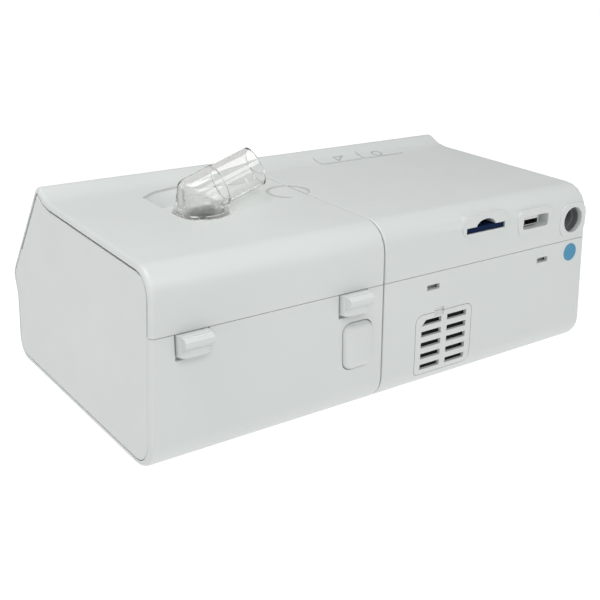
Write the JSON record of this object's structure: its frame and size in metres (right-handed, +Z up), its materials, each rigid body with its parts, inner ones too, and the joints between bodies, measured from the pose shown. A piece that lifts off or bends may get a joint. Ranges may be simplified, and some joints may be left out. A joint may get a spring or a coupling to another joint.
{
  "type": "cpap machine",
  "caption": "Long low bedside CPAP machine with a humidifier docked at one end, a clear swivelling outlet elbow, rear ports and air filter, lid latches, top keys, sloping display and a knob.",
  "frame": {"origin": "on the table, under the middle of the machine's bounding box", "axes": "+X along the length towards the humidifier's end, +Y to the rear with the ports, +Z up"},
  "size_m": [0.293, 0.1894, 0.1307],
  "materials": {
    "white_plastic": "fine satin white moulding",
    "clear_plastic": "clear polycarbonate",
    "dark_glass": "glossy black lens",
    "grey_plastic": "satin grey",
    "dark_plastic": "satin black",
    "navy_plastic": "satin dark blue",
    "rubber": "matt black",
    "foam": "open cell foam",
    "aluminium": "smooth heater face",
    "steel": "plated steel",
    "circuit_green": "circuit board lacquer"
  },
  "bodies": {
    "machine": {"main_upper_housing": "white_plastic", "main_lower_housing": "white_plastic", "humidifier_base": "white_plastic", "end_panel": "white_plastic", "hinge_pin_1": "steel", "hinge_pin_2": "steel", "water_tank": "clear_plastic", "tank_cover": "clear_plastic", "tank_seal": "rubber", "heater_plate": "aluminium", "heater_insulator": "grey_plastic", "display_window": "dark_glass", "lcd_module": "grey_plastic", "knob_encoder": "dark_plastic", "filter_foam": "foam", "card_socket": "grey_plastic", "data_port": "steel", "power_inlet": "grey_plastic", "power_pin": "steel", "io_board": "circuit_green", "circuit_board": "circuit_green", "blower_casing": "dark_plastic", "blower_motor": "steel", "blower_mount": "rubber", "air_duct": "dark_plastic", "transfer_sleeve": "rubber", "inlet_silencer": "foam", "main_foot_1": "rubber", "main_foot_2": "rubber", "main_foot_3": "rubber", "main_foot_4": "rubber", "humidifier_foot_1": "rubber", "humidifier_foot_2": "rubber", "humidifier_foot_3": "rubber", "humidifier_foot_4": "rubber"},
    "lid": {"humidifier_lid": "white_plastic", "water_window": "clear_plastic", "outlet_port": "white_plastic"},
    "elbow": {"outlet_elbow": "clear_plastic", "elbow_seal": "rubber"},
    "outer_latch": {"latch_outer": "white_plastic"},
    "inner_latch": {"latch_inner": "white_plastic"},
    "release": {"release_button": "white_plastic"},
    "ramp": {"ramp_key": "white_plastic"},
    "mode": {"mode_key": "white_plastic"},
    "knob": {"control_knob": "grey_plastic"},
    "cap": {"filter_cap": "white_plastic"},
    "card": {"data_card": "navy_plastic"},
    "fan": {"impeller": "white_plastic"}
  },
  "joints": [
    {"name": "lid_hinge", "type": "hinge", "parent": "machine", "child": "lid", "pos_m": [0.0791, -0.08419, 0.0699], "axis": [1, 0, 0], "range_deg": [0, 75]},
    {"name": "elbow_swivel", "type": "hinge", "parent": "lid", "child": "elbow", "pos_m": [0.0705, 0.00324, 0.0974], "axis": [0, 0, 1], "continuous": true},
    {"name": "outer_latch_slide", "type": "slide", "parent": "machine", "child": "outer_latch", "axis": [0, 0, -1], "range_m": [0, 0.002], "stiffness_N_per_m": 900},
    {"name": "inner_latch_slide", "type": "slide", "parent": "machine", "child": "inner_latch", "axis": [0, 0, -1], "range_m": [0, 0.002], "stiffness_N_per_m": 900},
    {"name": "release_push", "type": "slide", "parent": "machine", "child": "release", "axis": [0, -1, 0], "range_m": [0, 0.002], "stiffness_N_per_m": 900},
    {"name": "ramp_key_push", "type": "slide", "parent": "machine", "child": "ramp", "axis": [0, 0, -1], "range_m": [0, 0.0008], "stiffness_N_per_m": 1200},
    {"name": "mode_key_push", "type": "slide", "parent": "machine", "child": "mode", "axis": [0, 0, -1], "range_m": [0, 0.0008], "stiffness_N_per_m": 1200},
    {"name": "knob_turn", "type": "hinge", "parent": "machine", "child": "knob", "pos_m": [-0.024, -0.07036, 0.08673], "axis": [0, -0.7955, 0.606], "continuous": true},
    {"name": "filter_cap_pull", "type": "slide", "parent": "machine", "child": "cap", "axis": [0, 1, 0], "range_m": [0, 0.02]},
    {"name": "data_card_pull", "type": "slide", "parent": "machine", "child": "card", "axis": [0, 1, 0], "range_m": [0, 0.03]},
    {"name": "fan_spin", "type": "hinge", "parent": "machine", "child": "fan", "pos_m": [-0.078, -0.00832, 0.027], "axis": [0, 0, 1], "continuous": true}
  ]
}
